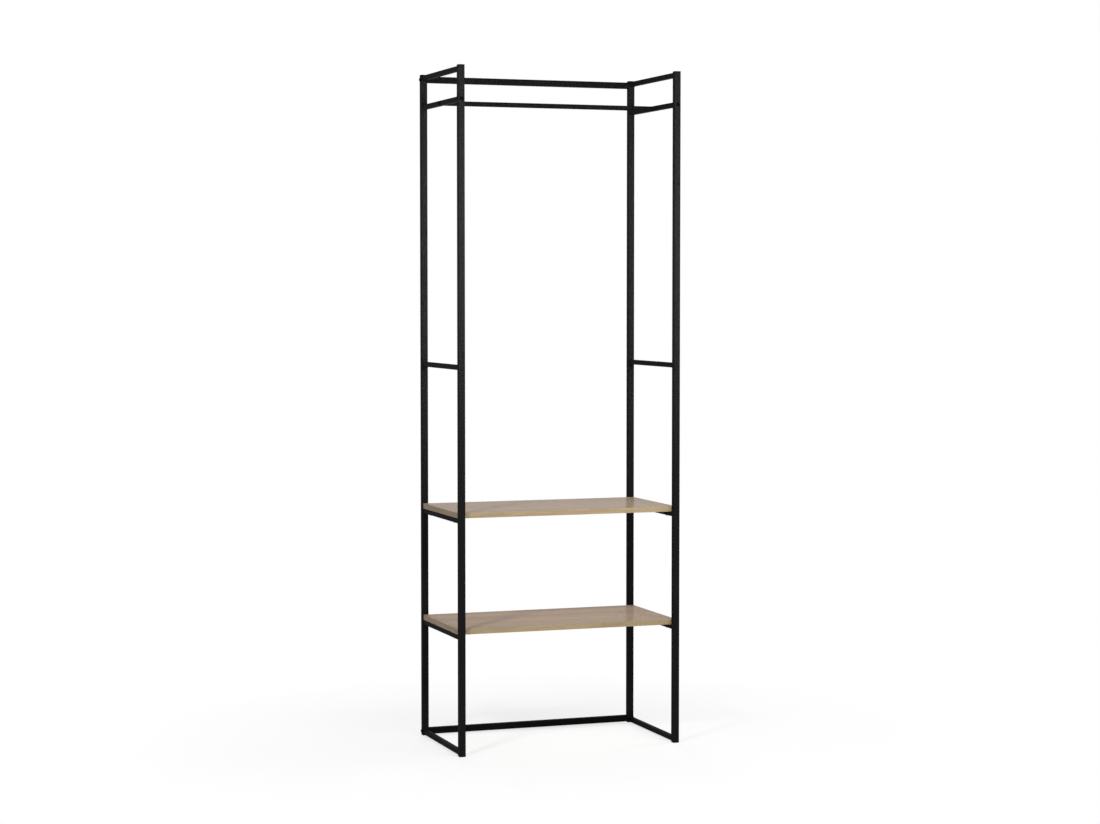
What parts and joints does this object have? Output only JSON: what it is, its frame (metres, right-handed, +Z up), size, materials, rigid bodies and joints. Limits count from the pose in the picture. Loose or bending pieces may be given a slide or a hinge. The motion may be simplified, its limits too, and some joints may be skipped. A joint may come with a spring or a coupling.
{
  "type": "clothes rack",
  "caption": "Tall open clothes rack of black square steel tube with a hanging rod across the top, crossbars at the back and oak-look shelves below for shoes and boxes.",
  "frame": {"origin": "on the floor, at the middle of the rack's footprint", "axes": "+Z up, +X to the right and +Y to the back, seen from the front where the open side is"},
  "size_m": [0.6266, 0.3566, 1.8],
  "materials": {
    "black_steel": "satin black powder coat",
    "black_bolts": "black oxide",
    "zinc_steel": "bright zinc plate",
    "black_plastic": "moulded matt black",
    "shelf_laminate": "satin oak-look laminate on particle board",
    "shelf_edging": "satin oak-look edge band"
  },
  "bodies": {
    "root": {"crossbar_bolts": "black_bolts", "crossbar_end_nuts": "zinc_steel", "hanger_rail_bolts": "black_bolts", "hanger_rail_end_nuts": "zinc_steel", "hanging_rod": "black_steel", "left_bottom_rail": "black_steel", "left_front_cap": "black_plastic", "left_front_foot": "black_plastic", "left_front_lower_post": "black_steel", "left_front_sleeve": "zinc_steel", "left_front_upper_post": "black_steel", "left_hanger_rail": "black_steel", "left_lower_shelf_rail": "black_steel", "left_middle_rail": "black_steel", "left_rear_cap": "black_plastic", "left_rear_foot": "black_plastic", "left_rear_lower_post": "black_steel", "left_rear_sleeve": "zinc_steel", "left_rear_upper_post": "black_steel", "left_top_rail": "black_steel", "left_upper_shelf_rail": "black_steel", "lower_shelf_board": "shelf_laminate", "lower_shelf_front_band": "shelf_edging", "lower_shelf_left_band": "shelf_edging", "lower_shelf_rear_band": "shelf_edging", "lower_shelf_right_band": "shelf_edging", "rear_bottom_crossbar": "black_steel", "rear_top_crossbar": "black_steel", "right_bottom_rail": "black_steel", "right_front_cap": "black_plastic", "right_front_foot": "black_plastic", "right_front_lower_post": "black_steel", "right_front_sleeve": "zinc_steel", "right_front_upper_post": "black_steel", "right_hanger_rail": "black_steel", "right_lower_shelf_rail": "black_steel", "right_middle_rail": "black_steel", "right_rear_cap": "black_plastic", "right_rear_foot": "black_plastic", "right_rear_lower_post": "black_steel", "right_rear_sleeve": "zinc_steel", "right_rear_upper_post": "black_steel", "right_top_rail": "black_steel", "right_upper_shelf_rail": "black_steel", "rod_bolts": "black_bolts", "rod_end_nuts": "zinc_steel", "shelf_screws": "zinc_steel", "upper_shelf_board": "shelf_laminate", "upper_shelf_front_band": "shelf_edging", "upper_shelf_left_band": "shelf_edging", "upper_shelf_rear_band": "shelf_edging", "upper_shelf_right_band": "shelf_edging"}
  },
  "joints": []
}
